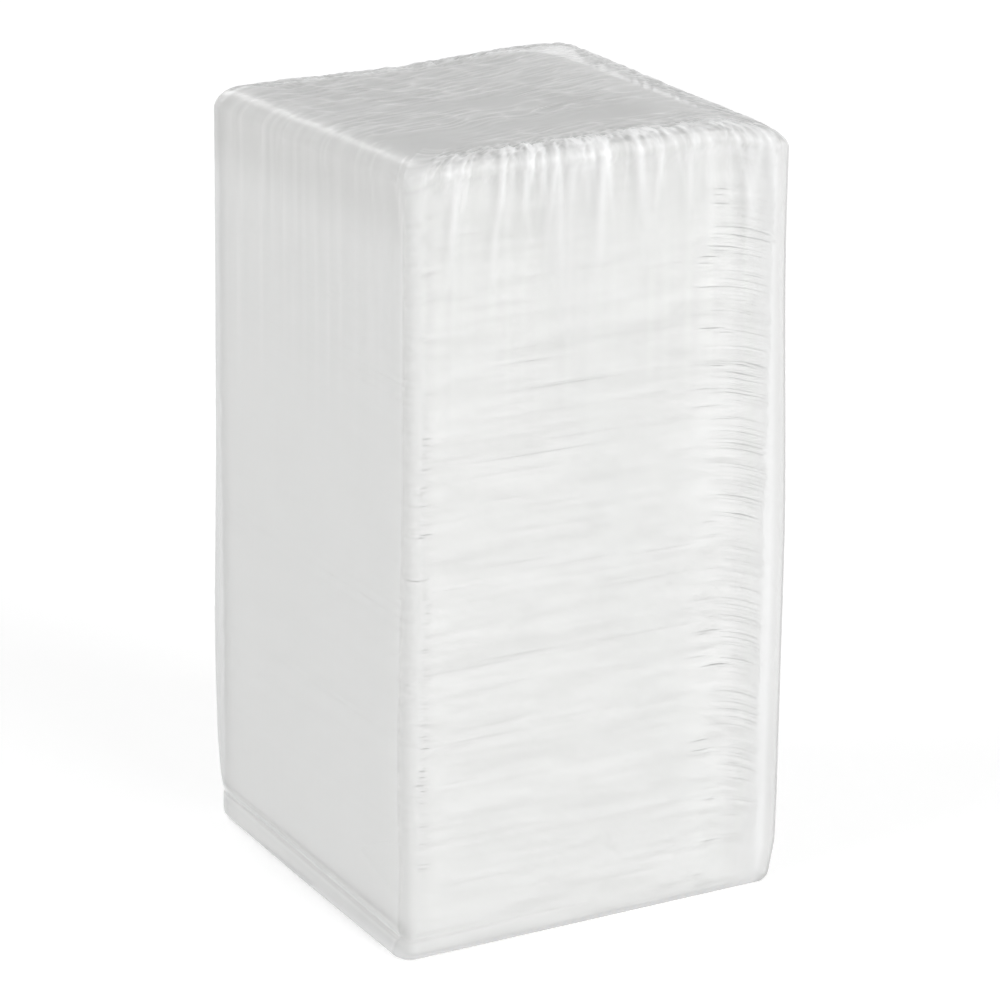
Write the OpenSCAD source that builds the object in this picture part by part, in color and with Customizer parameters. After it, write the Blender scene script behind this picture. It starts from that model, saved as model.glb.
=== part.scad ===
// A tall pack of quarter-folded paper napkins, tightly wrapped in clear shrink film.
// The napkins lie flat with their last fold on the left, their first fold at the back
// and their free edges at the front and on the right, where the stack sags.
// The film is one closed skin: drawn in between its corners, gathered round the top
// edge, sloped at the left shoulder and rolled to a lip round the base.
// The origin is the middle of the base, with the stack's front towards -Y.

/* [Napkins] */
// Width of a folded napkin, from its last fold to its free edges
napkin_w = 120; // [100:1:165]
// Depth of a folded napkin, from its first fold to its free edges
napkin_d = 121; // [100:1:165]
// Thickness of one leaf, two plies of embossed tissue
leaf_t = 0.26; // [0.2:0.01:0.4]
// Air between the leaves of one napkin
leaf_gap = 0.03; // [0.02:0.01:0.06]
// Air between one napkin and the next
napkin_gap = 0.06; // [0.04:0.01:0.1]

/* [Stack] */
// Napkins that share one node
napkins_per_bundle = 5; // [2:1:8]
// Bundles in the pack
bundles = 40; // [10:1:50]
// Most that a napkin lies out of line, either way
scatter = 0.3; // [0:0.05:0.4]
// How far the free edges on the right hang below the rest
sag_drop = 5.5; // [0:0.5:8]
// Width of the stretch along the right edge that sags
sag_width = 27; // [15:1:50]
// Height of the firm foot of the stack, over which the sag grows from nothing
sag_rise = 45; // [25:5:60]
// How far the folds on the left are pressed down at the top of the stack
press_drop = 5; // [0:0.5:6]
// Width of the stretch along the left edge that is pressed down
press_width = 10; // [6:1:16]
// Depth of the stretch below the top over which the folds are squeezed
press_reach = 60; // [40:5:70]

/* [Film] */
// Thickness of the film as drawn
film_t = 0.25; // [0.2:0.05:0.4]
// Room between the stack and the film on the left
left_room = 2.4; // [2.2:0.1:4]
// Room between the stack and the film on the right
right_room = 3.8; // [2.2:0.1:6]
// Room between the stack and the film at the front
front_room = 2.6; // [2.2:0.1:4]
// Room between the stack and the film at the back
back_room = 2.8; // [2.2:0.1:5]
// Room between the stack and the film on top
top_room = 1.2; // [1:0.1:3]
// Plan radius of the film's upright corners
film_corner = 4; // [3:0.5:7]
// How far each face is drawn in at its middle
face_hollow = 0.6; // [0:0.1:0.7]
// How far the film stands off further on the right, low down, where it is slack
right_slack = 2; // [0:0.1:3]

/* [Top of the film] */
// Radius of the turn from the sides to the top
top_turn = 5; // [4:0.5:7]
// Depth of the gathers round the top edge
gather_depth = 0.9; // [0:0.1:1.5]
// Gathers along each side
gathers = 21; // [8:1:28]
// Height of the gathered band below the top edge
gather_band = 28; // [15:1:45]
// Drop of the left edge at its front end
shoulder_front = 2.5; // [0:0.5:5]
// Drop of the left edge at its back end
shoulder_back = 6; // [0:0.5:6]
// How far the left end of the top is drawn in
shoulder_in = 0.5; // [0:0.1:0.7]
// Drop of the right edge at its front end
slope_front = 5.5; // [0:0.5:5.5]
// Drop of the right edge at its back end
slope_back = 1.5; // [0:0.5:5.5]

/* [Base of the film] */
// How far the base is drawn in round its rim
base_inset = 0.8; // [0.4:0.1:0.8]
// How far the rolled lip stands out
lip_out = 0.7; // [0:0.1:1.5]
// How far the lip's near left corner flares out to the left
corner_flare = 1.5; // [0:0.1:2]
// Height of the lip's widest ring above the base
lip_z = 0.2; // [0.1:0.1:1]
// Height of the crease above the lip, at the front
crease_front = 4; // [3:0.5:8]
// Height of the crease above the lip, at the back
crease_back = 11; // [4:0.5:14]
// Depth of the crease
crease_depth = 0.6; // [0:0.1:0.8]

/* [Hidden] */
bundle_names = [for (i = [1:bundles]) str("napkins_", i < 10 ? "0" : "", i)];

// The stack
napkin_t = 4 * leaf_t + 3 * leaf_gap;
pitch = napkin_t + napkin_gap;
count = bundles * napkins_per_bundle;
stack_h = count * pitch - napkin_gap;
stack_z = film_t + napkin_gap;
stack_x = (left_room - right_room) / 2;
stack_y = (front_room - back_room) / 2;
left_x = stack_x - napkin_w / 2;
right_x = stack_x + napkin_w / 2;
shifts = rands(-scatter, scatter, 2 * count, 7);

// The film, half its width and depth and its whole height
film_hx = (napkin_w + left_room + right_room) / 2 + film_t;
film_hy = (napkin_d + front_room + back_room) / 2 + film_t;
film_h = stack_z + stack_h + top_room + film_t;

function ease(t) = let (c = min(1, max(0, t))) c * c * (3 - 2 * c);
function mix(a, b, t) = a + (b - a) * t;
function flip(list) = [for (i = [len(list) - 1:-1:0]) list[i]];

// Where a point at height z in a level stack comes to lie once the folds on the left are
// pressed down and the free edges on the right hang
// Both curves run straight between the places where every napkin bends.
press_steps = 2;
sag_steps = 3;
slot_over = 1;
hang_end = right_x + scatter + slot_over;
press_curve = [for (i = [0:press_steps]) let (t = i / press_steps)
    [mix(left_x - scatter, left_x + press_width, t), press_drop * (1 - t) ^ 2]];
sag_curve = [for (i = [0:sag_steps]) let (t = i / sag_steps)
    [mix(right_x - sag_width, hang_end, t), sag_drop * t ^ 2]];
function settled(x, z) = z - lookup(x, sag_curve) * ease(z / sag_rise)
    - lookup(x, press_curve) * ease(1 + (z - stack_h) / press_reach);

pressed_places = [for (i = [1:press_steps]) press_curve[i][0]];
hanging_places = [for (i = [0:sag_steps - 1]) sag_curve[i][0]];
function places(z) = concat(z > stack_h - press_reach - napkin_t ? pressed_places : [], hanging_places);

// A run along one face of a leaf, from the last fold to the free edge
function run(z0, z, edge_x) = [for (x = concat(places(z0), [edge_x])) [x, z0 + z]];
// The half turn round the last fold, from the bottom up
function turn(z0, fold_x, r, steps) = [for (i = [0:steps]) let (a = 270 - 180 * i / steps)
    [fold_x + napkin_t / 2 + r * cos(a), z0 + napkin_t / 2 + r * sin(a)]];
// The section of a leaf that comes back over itself round the last fold
function hairpin(z0, fold_x, edge_x, r_out, r_in, out_steps, in_steps) = let (mid = napkin_t / 2)
    [for (p = concat(
        flip(run(z0, mid - r_out, edge_x)), turn(z0, fold_x, r_out, out_steps), run(z0, mid + r_out, edge_x),
        flip(run(z0, mid + r_in, edge_x)), flip(turn(z0, fold_x, r_in, in_steps)), run(z0, mid - r_in, edge_x)))
        [p[0], settled(p[0], p[1])]];

module upright(y0, y1, section) {
    translate([0, y1, 0]) rotate([90, 0, 0]) linear_extrude(height = y1 - y0) polygon(section);
}

// One napkin folded in four: two leaves that come back over themselves round the last
// fold, and the slot between them, which the first fold closes along the back edge.
module napkin(z0, dx, dy) {
    fold_x = left_x + dx;
    y_front = stack_y + dy - napkin_d / 2;
    y_back = y_front + napkin_d;
    outer_r = napkin_t / 2;
    slot_r = outer_r - leaf_t;
    difference() {
        upright(y_front, y_back, hairpin(z0, fold_x, right_x + dx, outer_r, leaf_gap / 2, 4, 1));
        upright(y_front - slot_over, y_back - leaf_t, hairpin(z0, fold_x, hang_end, slot_r, slot_r - leaf_gap, 2, 2));
    }
}

module bundle(number) {
    color([0.96, 0.96, 0.95]) translate([0, 0, stack_z])
        for (i = [number * napkins_per_bundle:(number + 1) * napkins_per_bundle - 1])
            napkin(i * pitch, shifts[2 * i], shifts[2 * i + 1]);
}

// The film's outline is followed by u, from 0 to 4. Each unit turns one corner in its
// first part, corner_share, and then runs straight along the next side.
corner_share = 1 / 6;
signs = [[1, 1], [-1, 1], [-1, -1], [1, -1]];
function facing(u) = let (k = floor(u)) 90 * (k + min(1, (u - k) / corner_share));
function outward(u) = [cos(facing(u)), sin(facing(u))];
function along(u) = max(0, (u - floor(u) - corner_share) / (1 - corner_share));
function corner_centre(k, inset, r) = [signs[k][0] * (film_hx - inset - r), signs[k][1] * (film_hy - inset - r)];
function outline(u, inset, r) = let (k = floor(u) % 4)
    mix(corner_centre(k, inset, r), corner_centre((k + 1) % 4, inset, r), along(u)) + r * outward(u);

// Uneven waves along each side, from 0 in a valley to 1 on a crest
function gather(u) = let (t = along(u), slow = 1190 * u)
    t == 0 ? 0 : (0.5 - 0.5 * cos(360 * gathers * t + 60 * sin(slow))) * (0.7 + 0.3 * sin(1.7 * slow)) * sin(180 * t) ^ 0.3;

// Heights of the film's top and of the crease above its base
function shoulder(x, y) = mix(shoulder_front, shoulder_back, 0.5 + y / (2 * film_hy))
    * max(0, (press_width - film_hx - x) / press_width) ^ 2;
slope_start = right_x - sag_width;
function slope(x, y) = mix(slope_front, slope_back, 0.5 + y / (2 * film_hy))
    * max(0, (x - slope_start) / (film_hx - slope_start)) ^ 2;
function top_z(x, y) = film_h - shoulder(x, y) - slope(x, y);
function crease_z(y) = mix(crease_front, crease_back, 0.5 + y / (2 * film_hy));

// How far a point at height z strays sideways: out on the right above the tucked foot, in at
// the left end of the top, and out at the near left corner of the lip
tuck = 4;
flare_height = 25;
taper_height = 110;
function stray(x, y, z) = let (right = max(0, x / film_hx), left = max(0, -x / film_hx))
    right * right_slack * ease((z + tuck) / (5 * tuck)) * ease((film_h - gather_band - z) / taper_height)
    + left * (0.5 + y / (2 * film_hy)) * shoulder_in * ease(1 - (film_h - z) / taper_height)
    - left * max(0, -y / film_hy) * corner_flare * ease(1 - z / flare_height);

// The rings that the skin is stretched over, from the base up to the middle of the top, at
// a depth s below the outer surface. Columns: height, share of the crease's height, share of
// the top's height, inset, how far it stands out on the left, share of the gathers, share
// of the face's hollow.
crease_rise = 6;
function side_row(s, t) = [mix(crease_rise, -gather_band, t), 1 - t, t, s, 0, 0, 0.4 + 0.6 * sin(120 * t)];
function top_row(s, inset) = [-s, 0, 1, inset, 0, 0, 0];
function rows(s) = concat([
        [s, 0, 0, base_inset + s, 0, 0, 0],
        [lip_z + s, 0.25, 0, s, lip_out, 0, 0],
        [0, 1, 0, s, -crease_depth, 0, 0]],
    [for (t = [0, 0.5, 1]) side_row(s, t)], [
        [-gather_band * 0.45, 0, 1, s, 0, 0.6, 0.7],
        [-top_turn, 0, 1, s, 0, 1, 0.4],
        [-s - top_turn * 0.3, 0, 1, s + top_turn * 0.3, 0, 0.8, 0.2],
        [-s, 0, 1, top_turn, 0, 0.5, 0]],
    [for (share = [0.2, 0.42, 0.7]) top_row(s, share * film_hy)]);
gathered_rows = [6, 7, 8, 9];

function ring_point(u, row, depth) = let (
    p = outline(u, row[3], film_corner),
    tilt = 90 * min(1, max(0, row[3] / top_turn)) * row[2],
    wave = depth * row[5] * gather(u),
    out = wave * cos(tilt) + row[4] * max(0, -p[0] / film_hx) - face_hollow * row[6] * sin(180 * along(u)) ^ 2,
    q = p + out * outward(u),
    z = row[0] + row[1] * crease_z(p[1]) + row[2] * top_z(p[0], p[1]))
    [q[0] + stray(p[0], p[1], z), q[1], z + wave * sin(tilt)];
function ring(row, steps, depth) = [for (i = [0:4 * steps - 1]) ring_point(i / steps, row, depth)];

// Triangles between a ring of na points that starts at a and one of nb above it at b,
// where the counts are the same or one is a multiple of the other
function strip(a, na, b, nb) =
    na == nb ? [for (i = [0:na - 1]) let (j = (i + 1) % na) each [[a + i, b + i, a + j], [a + j, b + i, b + j]]] :
    na < nb ? let (m = nb / na) [for (i = [0:na - 1]) each concat(
        [for (j = [0:m - 1]) [a + i, b + m * i + j, b + (m * i + j + 1) % nb]],
        [[a + i, b + (m * i + m) % nb, a + (i + 1) % na]])] :
    let (m = na / nb) [for (i = [0:nb - 1]) each concat(
        [for (j = [0:m - 1]) [a + m * i + j, b + i, a + (m * i + j + 1) % na]],
        [[a + (m * i + m) % na, b + i, b + (i + 1) % nb]])];

// A closed skin over a list of rings, shut by a fan at each end
module skin(rings) {
    top = len(rings) - 1;
    sizes = [for (r = rings) len(r)];
    starts = [for (k = 0, at = 0; k <= top; at = at + sizes[k], k = k + 1) at];
    foot = starts[top] + sizes[top];
    n = sizes[top];
    middle = [0, 0, 1];
    points = concat([for (r = rings) each r], [rings[0][0][2] * middle, rings[top][0][2] * middle]);
    polyhedron(points, concat(
        [for (k = [0:top - 1]) each strip(starts[k], sizes[k], starts[k + 1], sizes[k + 1])],
        [for (i = [0:sizes[0] - 1]) [foot, i, (i + 1) % sizes[0]]],
        [for (i = [0:n - 1]) [foot + 1, starts[top] + (i + 1) % n, starts[top] + i]]));
}

side_steps = 24;
gather_steps = 4 * side_steps;
module film_wrap() {
    outside = rows(0);
    inside = rows(film_t);
    is_gathered = [for (k = [0:len(outside) - 1]) len(search(k, gathered_rows)) > 0];
    color([0.9, 0.94, 0.96, 0.3]) difference() {
        skin([for (k = [0:len(outside) - 1]) ring(outside[k], is_gathered[k] ? gather_steps : side_steps, gather_depth)]);
        skin([for (row = inside) ring(row, side_steps, 0)]);
    }
}

film_wrap();
for (i = [0:bundles - 1]) bundle(i);
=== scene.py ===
"""A tall pack of folded paper napkins in clear shrink film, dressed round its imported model.

Lengths are in millimetres until they go into a mesh, a lamp or the camera.
"""

import math

import bpy
import numpy as np
from mathutils import Matrix, Vector


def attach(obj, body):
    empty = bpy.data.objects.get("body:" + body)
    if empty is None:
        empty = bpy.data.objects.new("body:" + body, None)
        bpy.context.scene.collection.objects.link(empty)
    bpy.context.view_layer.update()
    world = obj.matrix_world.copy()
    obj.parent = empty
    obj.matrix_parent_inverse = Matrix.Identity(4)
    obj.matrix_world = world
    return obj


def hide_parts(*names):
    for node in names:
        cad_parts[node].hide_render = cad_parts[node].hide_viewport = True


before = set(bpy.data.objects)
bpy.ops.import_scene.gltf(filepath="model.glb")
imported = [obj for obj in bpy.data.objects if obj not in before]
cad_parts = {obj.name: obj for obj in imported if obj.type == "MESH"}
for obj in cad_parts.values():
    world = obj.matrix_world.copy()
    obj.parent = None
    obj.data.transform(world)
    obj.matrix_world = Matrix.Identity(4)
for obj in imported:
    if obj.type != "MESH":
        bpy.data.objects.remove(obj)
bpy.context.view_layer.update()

MM = 0.001

# The stack, which is a little wider and deeper than the model's: a napkin's folded size, and
# the place of the stack's middle, foot and height
NAPKIN_W, NAPKIN_D = 120.7, 122.4
STACK_X, STACK_Y, STACK_Z = -1.05, 0.6, 0.31
STACK_H = 237.94
NAPKINS_PER_BUNDLE = 5
# A page's thickness: inside, towards its free edges on the right, and in the notches on the
# left. The place where each of these begins or lies, and its width.
PAGE_T, TIP_T, NOTCH_T = 0.58, 0.568, 0.56
TIP_FROM, TIP_OVER = 26, 14
NOTCH_X, NOTCH_WIDTH = -58.2, 2
THINNEST_PAGE, CLOSEST_PAGES = 0.3, 0.004
# The droop on the right: how far the free edges drop, the height over which that sets in, the
# place where the droop starts low and high in the stack, and how that place wanders
SAG_DROP, SAG_RISE = 5.5, 45.0
SAG_START_LOW, SAG_START_HIGH = 40.0, 31.0
SAG_SHIFT_FROM, SAG_SHIFT_OVER = 60, 140
SAG_WANDER, SAG_WANDER_CELL = 3, 14
# How far the left fold is pressed down at the top, over which width, and how deep down
PRESS_DROP, PRESS_WIDTH, PRESS_REACH = 5.0, 10.0, 60.0
# How far the top falls away at the back left, and the place on the right where that ends
BACK_DROP, BACK_DROP_END = 3.6, 66.0

# The film, fitted to the photograph within its room round the model's: half its width and
# depth, its height, and its thickness as it is drawn
FILM_HX, FILM_HY, FILM_H, FILM_T = 63.35, 63.45, 239.7, 0.25
# The radius of the upright corners, how far the faces sink in, and the turn over the rim
FILM_CORNER, FACE_HOLLOW, TOP_TURN = 4.0, 0.6, 4.5
# How far the top comes down at its left end, and at its right end over a width
SHOULDER_FRONT, SHOULDER_BACK = 2.5, 2.0
SLOPE_FRONT, SLOPE_BACK, SLOPE_WIDTH = 5.5, 2.3, 31.0
# The lip round the base, and the groove above it on the left
BASE_INSET, LIP_OUT, LIP_Z = 0.8, 1.3, 0.2
CREASE_FRONT, CREASE_BACK, CREASE_DEPTH = 6.5, 9.5, 1.2
CREASE_FADE = 0.7
# What strays sideways, and the heights over which it sets in or fades
RIGHT_SLACK, SHOULDER_IN, CORNER_FLARE = 3.0, 0.5, 1.5
LEFT_BULGE, BULGE_Z, BULGE_REACH, LOW_CORNER_IN = 1.3, 62.0, 45.0, 2.0
FLARE_HEIGHT, TAPER_HEIGHT, TAPER_TOP, TUCK, TUCK_RISE = 25.0, 110.0, 28.0, 4.0, 20.0

# The camera, fitted to the photograph's edges, in pixels of a 1000 pixel frame and degrees
FOCAL_PX, FRAME_PX, SENSOR = 4337.0, 1000.0, 36.0
AZIMUTH, ELEVATION, ROLL = -30.02, 18.60, 0.59
DISTANCE, AIM_RIGHT, AIM_UP, AIM_Z = 1314.7, 2.3, -3.8, 118.1


# Numbers

def ease(t):
    c = np.clip(t, 0, 1)
    return c * c * (3 - 2 * c)


def mix(a, b, t):
    return a + (b - a) * t


NOISE_SEED, GAP_SEED, TONE_SEED, PLAN_SEED, PLEAT_SEED = 20, 5, 6, 9, 31
TABLE_COUNT, TABLE_SIZE = 8, 256
TABLES = np.random.default_rng(NOISE_SEED).random((TABLE_COUNT, TABLE_SIZE, TABLE_SIZE))


def grain(table, a, b):
    """Smooth noise from 0 to 1 whose cells are one unit of a and b."""
    a, b = np.broadcast_arrays(a, b)
    i, j = np.floor(a).astype(int), np.floor(b).astype(int)
    s, t = ease(a - i), ease(b - j)
    value = lambda m, n: TABLES[table][m % TABLE_SIZE, n % TABLE_SIZE]
    return mix(mix(value(i, j), value(i + 1, j), s), mix(value(i, j + 1), value(i + 1, j + 1), s), t)


def bell(x, centre, width):
    return np.exp(-((x - centre) / width) ** 2)


def ridged(table, a, b):
    """Noise with sharp ridges, from 0 to 1."""
    return 1 - np.abs(2 * grain(table, a, b) - 1)


def backness(y):
    """0 at the film's front and 1 at its back."""
    return 0.5 + y / (2 * FILM_HY)


# Meshes

def quad_mesh(name, points, quads):
    """A mesh of quads, where a quad whose last two corners are the same is a triangle."""
    mesh = bpy.data.meshes.new(name)
    mesh.vertices.add(len(points))
    mesh.vertices.foreach_set("co", (np.asarray(points) * MM).astype(np.float32).ravel())
    is_triangle = quads[:, 2] == quads[:, 3]
    keep = np.ones(quads.shape, bool)
    keep[is_triangle, 3] = False
    sizes = keep.sum(1)
    mesh.loops.add(int(sizes.sum()))
    mesh.loops.foreach_set("vertex_index", quads[keep].astype(np.int32))
    mesh.polygons.add(len(quads))
    starts = np.concatenate([[0], np.cumsum(sizes)[:-1]])
    mesh.polygons.foreach_set("loop_start", starts.astype(np.int32))
    mesh.update(calc_edges=True)
    mesh.validate()
    return mesh


def point_values(mesh, name, values):
    attribute = mesh.attributes.new(name, "FLOAT", "POINT")
    attribute.data.foreach_set("value", np.asarray(values).astype(np.float32))


def place(name, mesh, material, node):
    mesh.materials.append(material)
    piece = bpy.data.objects.new(name, mesh)
    bpy.context.scene.collection.objects.link(piece)
    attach(piece, "root")
    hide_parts(node)
    return piece


# Materials

def new_material(name):
    material = bpy.data.materials.new(name)
    material.use_nodes = True
    material.node_tree.nodes.clear()
    return material, material.node_tree.nodes, material.node_tree.links


def math_node(nodes, links, operation, a, b):
    node = nodes.new("ShaderNodeMath")
    node.operation = operation
    for socket, value in zip(node.inputs, (a, b)):
        if isinstance(value, bpy.types.NodeSocket):
            links.new(value, socket)
        else:
            socket.default_value = value
    return node.outputs[0]


def noise_node(nodes, links, coordinates, scale, detail, stretch=(1, 1, 1)):
    mapping = nodes.new("ShaderNodeMapping")
    mapping.inputs["Scale"].default_value = stretch
    links.new(coordinates, mapping.inputs["Vector"])
    noise = nodes.new("ShaderNodeTexNoise")
    noise.inputs["Scale"].default_value = scale
    noise.inputs["Detail"].default_value = detail
    links.new(mapping.outputs[0], noise.inputs["Vector"])
    return noise.outputs["Fac"]


def toned(nodes, links, attribute, low, high):
    """A colour between two, by a value from 0 to 1 that the mesh carries."""
    value = nodes.new("ShaderNodeAttribute")
    value.attribute_name = attribute
    tone = nodes.new("ShaderNodeMix")
    tone.data_type = "RGBA"
    links.new(value.outputs["Fac"], tone.inputs["Factor"])
    tone.inputs["A"].default_value = low
    tone.inputs["B"].default_value = high
    return tone.outputs["Result"]


def add_bump(nodes, links, surface, height, strength, distance):
    bump = nodes.new("ShaderNodeBump")
    bump.inputs["Strength"].default_value = strength
    bump.inputs["Distance"].default_value = distance
    links.new(height, bump.inputs["Height"])
    links.new(bump.outputs[0], surface.inputs["Normal"])


# The ends of the paper's tone, which carries painted light and shade as well as its own
PAPER_GREY, PAPER_WHITE = (0.74, 0.74, 0.725, 1), (0.97, 0.97, 0.96, 1)
# The film's haze, and the grey to which painted shade turns it
FILM_WHITE, FILM_PAINTED_SHADE_TONE = (0.95, 0.955, 0.955, 1), (0.77, 0.77, 0.765, 1)
FIBRE_SCALE, CRINKLE_SCALE = 800, 300
# Crinkles are long across the top and upright down the sides
CRINKLE_STRETCH = (0.35, 0.9, 0.1)


def paper_material():
    """White tissue: matt and fibrous, some sheets and places a little whiter than others, and
    painted light and shade in its tone.
    """
    material, nodes, links = new_material("paper")
    output = nodes.new("ShaderNodeOutputMaterial")
    surface = nodes.new("ShaderNodeBsdfPrincipled")
    surface.inputs["Roughness"].default_value = 0.95
    surface.inputs["Specular IOR Level"].default_value = 0.2
    links.new(surface.outputs[0], output.inputs["Surface"])
    coordinates = nodes.new("ShaderNodeTexCoord").outputs["Object"]
    # The tone carries painted light and shade besides the paper's own tone.
    tone = toned(nodes, links, "tone_and_painted_light", PAPER_GREY, PAPER_WHITE)
    links.new(tone, surface.inputs["Base Color"])
    fibres = noise_node(nodes, links, coordinates, FIBRE_SCALE, 1)
    add_bump(nodes, links, surface, fibres, 0.4, 0.0003)
    return material


def film_material():
    """Clear shrink film: a thin haze that whitens in the gathers, with a band of painted highlight
    down the front and painted shade in grey at the front's right end, on the left shoulder and in
    the groove; and a soft gloss."""
    material, nodes, links = new_material("film")
    output = nodes.new("ShaderNodeOutputMaterial")
    clear = nodes.new("ShaderNodeBsdfTransparent")
    surface = nodes.new("ShaderNodeBsdfPrincipled")
    surface.inputs["Roughness"].default_value = 0.28
    surface.inputs["Specular IOR Level"].default_value = 0.4
    coordinates = nodes.new("ShaderNodeTexCoord").outputs["Object"]
    haze_and_painted_light = nodes.new("ShaderNodeAttribute")
    haze_and_painted_light.attribute_name = "haze_and_painted_light"
    facing = nodes.new("ShaderNodeLayerWeight")
    facing.inputs["Blend"].default_value = 0.12
    glancing = math_node(nodes, links, "MULTIPLY", facing.outputs["Fresnel"], 0.8)
    share = math_node(nodes, links, "ADD", haze_and_painted_light.outputs["Fac"], glancing)
    # Painted shade: the film's colour turns grey where the mesh carries it.
    tone = toned(nodes, links, "painted_shade", FILM_WHITE, FILM_PAINTED_SHADE_TONE)
    links.new(tone, surface.inputs["Base Color"])
    blend = nodes.new("ShaderNodeMixShader")
    links.new(share, blend.inputs["Fac"])
    links.new(clear.outputs[0], blend.inputs[1])
    links.new(surface.outputs[0], blend.inputs[2])
    links.new(blend.outputs[0], output.inputs["Surface"])
    crinkle = noise_node(nodes, links, coordinates, CRINKLE_SCALE, 1, CRINKLE_STRETCH)
    add_bump(nodes, links, surface, crinkle, 0.3, 0.0004)
    return material


# The stack of napkins
# A napkin is drawn as two pages joined by its last fold, on the left. Arrays are page by row
# by column: a row is a place along the depth and a column one along the width.

LEFT_X = STACK_X - NAPKIN_W / 2
RIGHT_X = STACK_X + NAPKIN_W / 2
FRONT_Y = STACK_Y - NAPKIN_D / 2
# Where a page's columns lie from its fold and its rows from the front, how far from the back
# the first fold shuts the slot, and how many steps go round the last fold
COLUMNS = np.array([0.55, 1.5, 3.0, 5.0, 7.0, 10, 16, 24, 32, 39, 46, 53, 60, 67, 74, 81, 87,
                    91, 94, 97, 100, 103, 106, 109, 112, 115, 118, NAPKIN_W])
SLOT_END = 0.26
ROWS = np.array([0, 0.4, 1.2, 3.0, 6.0, 14, 28, 46, 66, 86, 102, 112, 117, 119.6,
                 NAPKIN_D - SLOT_END, NAPKIN_D])
TURN_STEPS = 5


def each(rng, pages, low, high):
    """A number for each page, drawn between two."""
    return rng.uniform(low, high, pages)[:, None, None]


def picked(rng, pages, share, low, high):
    """A size for each page, which is 0 on all but a share of the pages."""
    chosen = (rng.random(pages) < share)[:, None, None]
    return np.where(chosen, each(rng, pages, low, high), 0)


def shared(values, together, pages):
    """A number for each page, the same for as many pages as lie together."""
    return np.repeat(values, together)[:pages, None, None]


# The air between pages comes in kinds. Each has the share of pages that have such a gap, the
# ranges of its size, of its middle's place along the width and of its reach there, and the
# noise that breaks it up along the depth: its table, cell and least value.
AIR = ((0.3, (0.015, 0.05), (-50, 30), (7, 22), (0, 12, 0.4)),
       (0.04, (0.05, 0.11), (-50, 30), (9, 20), (1, 9, 0.5)),
       (0.09, (0.08, 0.32), (36, 44), (2, 4), (2, 20, 0.3)),
       (0.07, (0.08, 0.32), (51, 57), (2.5, 4.5), (3, 14, 0.3)))
AIR_PAGE_STEP, AIR_DEPTH_STRETCH = (17.31, 5.77), 1.4
# Notches by the fold at the front: their share and ranges, and their middle and reach in depth
NOTCHES, NOTCH_DEPTH = (0.14, (0.15, 0.5), (-59, -57.5), (0.8, 1.5)), (1, 4)
LEAST_AIR = 0.006
# From the fold, how far the slits are shut, and the width over which they open after that
FOLD_SHUT, FOLD_OPENS = 1.5, 3


def page_gaps(pages):
    """The air under each page, before it is scaled to the height of the stack."""
    rng = np.random.default_rng(GAP_SEED)
    page = np.arange(pages)[:, None, None]
    x = LEFT_X + COLUMNS[None, None, :]
    y = ROWS[None, :, None]

    def slits(share, sizes, middles, reaches):
        size = picked(rng, pages, share, *sizes)
        return size * bell(x, each(rng, pages, *middles), each(rng, pages, *reaches))

    gaps = 0
    for share, sizes, middles, reaches, (table, cell, least) in AIR:
        across = x / cell + AIR_PAGE_STEP[0] * page
        deep = y / (AIR_DEPTH_STRETCH * cell) + AIR_PAGE_STEP[1] * page
        gaps = gaps + slits(share, sizes, middles, reaches) * (least + grain(table, across, deep))
    notches = slits(*NOTCHES) * bell(y, *NOTCH_DEPTH)
    return LEAST_AIR + gaps * ease((x - LEFT_X - FOLD_SHUT) / FOLD_OPENS) + notches


def back_drop(x, y):
    """How far the top falls away towards the back, most of all on the left."""
    leftness = np.clip((BACK_DROP_END - x) / BACK_DROP_END, 0, 1)
    return BACK_DROP * np.clip(backness(y), 0, 1) * leftness


def settled(x, y, z):
    """The height at which a point of the level stack comes to lie."""
    wander = SAG_WANDER * (grain(5, z / SAG_WANDER_CELL, 0.0) - 0.5)
    shift = ease((z - SAG_SHIFT_FROM) / SAG_SHIFT_OVER)
    start = mix(SAG_START_LOW, SAG_START_HIGH, shift) + wander
    sag = SAG_DROP * np.maximum(0, (x - start) / (RIGHT_X - start)) ** 2 * ease(z / SAG_RISE)
    press = PRESS_DROP * np.maximum(0, (LEFT_X + PRESS_WIDTH - x) / PRESS_WIDTH) ** 2
    high = ease(1 + (z - STACK_H) / PRESS_REACH)
    return z - sag - (press + back_drop(x, y)) * high


# How much of the level's slow waves is evened out, and over how many pages they are slow
EVENING, EVENING_PAGES = 0.8, 41


def slow_part(values):
    """A running mean over neighbouring pages, which keeps only their common waves."""
    half = EVENING_PAGES // 2
    padded = np.concatenate([values[:1]] * half + [values] + [values[-1:]] * half)
    total = np.cumsum(np.concatenate([0 * padded[:1], padded]), 0)
    return (total[EVENING_PAGES:] - total[:-EVENING_PAGES]) / EVENING_PAGES


def page_heights(pages):
    """The lowest and highest face of each page, apart by at least the thinnest page and gap."""
    x = LEFT_X + COLUMNS[None, None, :]
    y = FRONT_Y + ROWS[None, :, None]
    thick = mix(PAGE_T, TIP_T, ease((x - TIP_FROM) / TIP_OVER))
    thick = thick - (PAGE_T - NOTCH_T) * bell(x, NOTCH_X, NOTCH_WIDTH)
    gaps = page_gaps(pages)
    gaps *= (STACK_H - pages * thick) / gaps.sum(0, keepdims=True)
    level = np.arange(pages)[:, None, None] * thick + np.cumsum(gaps, 0)
    level = level - EVENING * slow_part(level - level.mean(2, keepdims=True))
    low = settled(x, y, level)
    high = settled(x, y, level + thick)
    for k in range(1, pages):
        low[k] = np.maximum(low[k], high[k - 1] + CLOSEST_PAGES)
        high[k] = np.maximum(high[k], low[k] + THINNEST_PAGE)
    return low + STACK_Z, high + STACK_Z


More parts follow.
